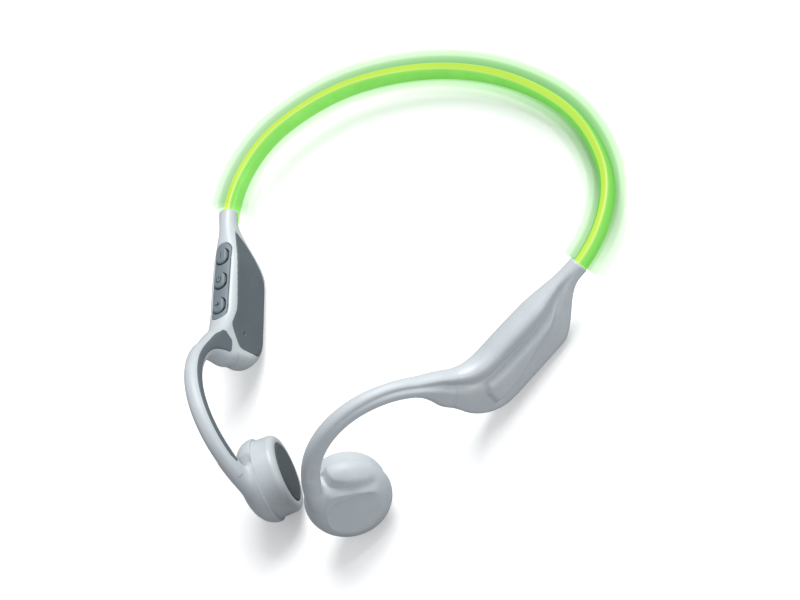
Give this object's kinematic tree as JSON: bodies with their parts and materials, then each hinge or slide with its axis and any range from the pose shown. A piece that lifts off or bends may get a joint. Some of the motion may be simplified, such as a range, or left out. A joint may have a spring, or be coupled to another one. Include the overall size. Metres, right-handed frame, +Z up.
{
  "type": "bone conduction headphones",
  "caption": "Open-ear headset: a lit neckband joins two housings, whose ear hooks carry round vibration pods that rest on the cheekbones.",
  "frame": {"origin": "centre of the footprint, on the surface that the headset lies on", "axes": "+X towards the wearer's left, +Y towards the back of the neck, +Z up"},
  "size_m": [0.1412, 0.141, 0.0407],
  "materials": {
    "light_guide": "translucent, lit from both ends, smooth",
    "silicone_grey": "satin silicone skin over the hook and band",
    "shell_grey": "fine satin texture",
    "slate_plastic": "fine matt texture",
    "slate_silicone": "soft matt skin contact pad",
    "button_slate": "satin rubber with engraved symbols",
    "seal_rubber": "moulded gasket",
    "spring_wire": "drawn spring wire",
    "cable_jacket": "thin insulated cable",
    "plated_steel": "nickel-plated stamping",
    "copper_wire": "enamelled copper winding",
    "magnet": "nickel-plated neodymium",
    "battery_foil": "laminated pouch foil",
    "foam": "closed-cell foam tape",
    "gold_contact": "gold-plated pins",
    "circuit_board": "solder-masked board",
    "chip_black": "moulded chip package",
    "led_lens": "light-emitting diode package"
  },
  "bodies": {
    "headset": {"band_ferrule_left": "plated_steel", "band_ferrule_right": "plated_steel", "battery": "battery_foil", "battery_foam": "foam", "button_panel": "button_slate", "charging_contacts": "gold_contact", "contact_pad_left": "slate_silicone", "contact_pad_right": "slate_silicone", "cover_seal_left": "seal_rubber", "cover_seal_right": "seal_rubber", "earhook_left": "silicone_grey", "earhook_right": "silicone_grey", "exciter_coil_left": "copper_wire", "exciter_coil_right": "copper_wire", "exciter_magnet_left": "magnet", "exciter_magnet_right": "magnet", "exciter_plate_left": "plated_steel", "exciter_plate_right": "plated_steel", "exciter_yoke_left": "plated_steel", "exciter_yoke_right": "plated_steel", "hook_cable_left": "cable_jacket", "hook_cable_right": "cable_jacket", "hook_inlay_left": "slate_plastic", "hook_inlay_right": "slate_plastic", "hook_wire_left": "spring_wire", "hook_wire_right": "spring_wire", "housing_shell_left": "shell_grey", "housing_shell_right": "shell_grey", "inner_cover_left": "slate_plastic", "inner_cover_right": "slate_plastic", "led_left": "led_lens", "led_right": "led_lens", "light_guide": "light_guide", "main_board": "circuit_board", "mic_mesh": "plated_steel", "microphone": "plated_steel", "neckband_cable": "cable_jacket", "neckband_sleeve": "silicone_grey", "neckband_wire": "spring_wire", "pod_barrel_left": "shell_grey", "pod_barrel_right": "shell_grey", "pod_cap_left": "silicone_grey", "pod_cap_right": "silicone_grey", "radio_chip": "chip_black", "switch_board": "circuit_board", "switch_minus": "plated_steel", "switch_plus": "plated_steel", "switch_power": "plated_steel"},
    "button_minus": {"button_minus": "button_slate"},
    "button_power": {"button_power": "button_slate"},
    "button_plus": {"button_plus": "button_slate"}
  },
  "joints": [
    {"name": "press_minus", "type": "slide", "parent": "headset", "child": "button_minus", "axis": [0, -0.0732, -0.9973], "range_m": [0, 0.0003], "stiffness_N_per_m": 250},
    {"name": "press_power", "type": "slide", "parent": "headset", "child": "button_power", "axis": [0, -0.0732, -0.9973], "range_m": [0, 0.0003], "stiffness_N_per_m": 250},
    {"name": "press_plus", "type": "slide", "parent": "headset", "child": "button_plus", "axis": [0, -0.0732, -0.9973], "range_m": [0, 0.0003], "stiffness_N_per_m": 250}
  ]
}
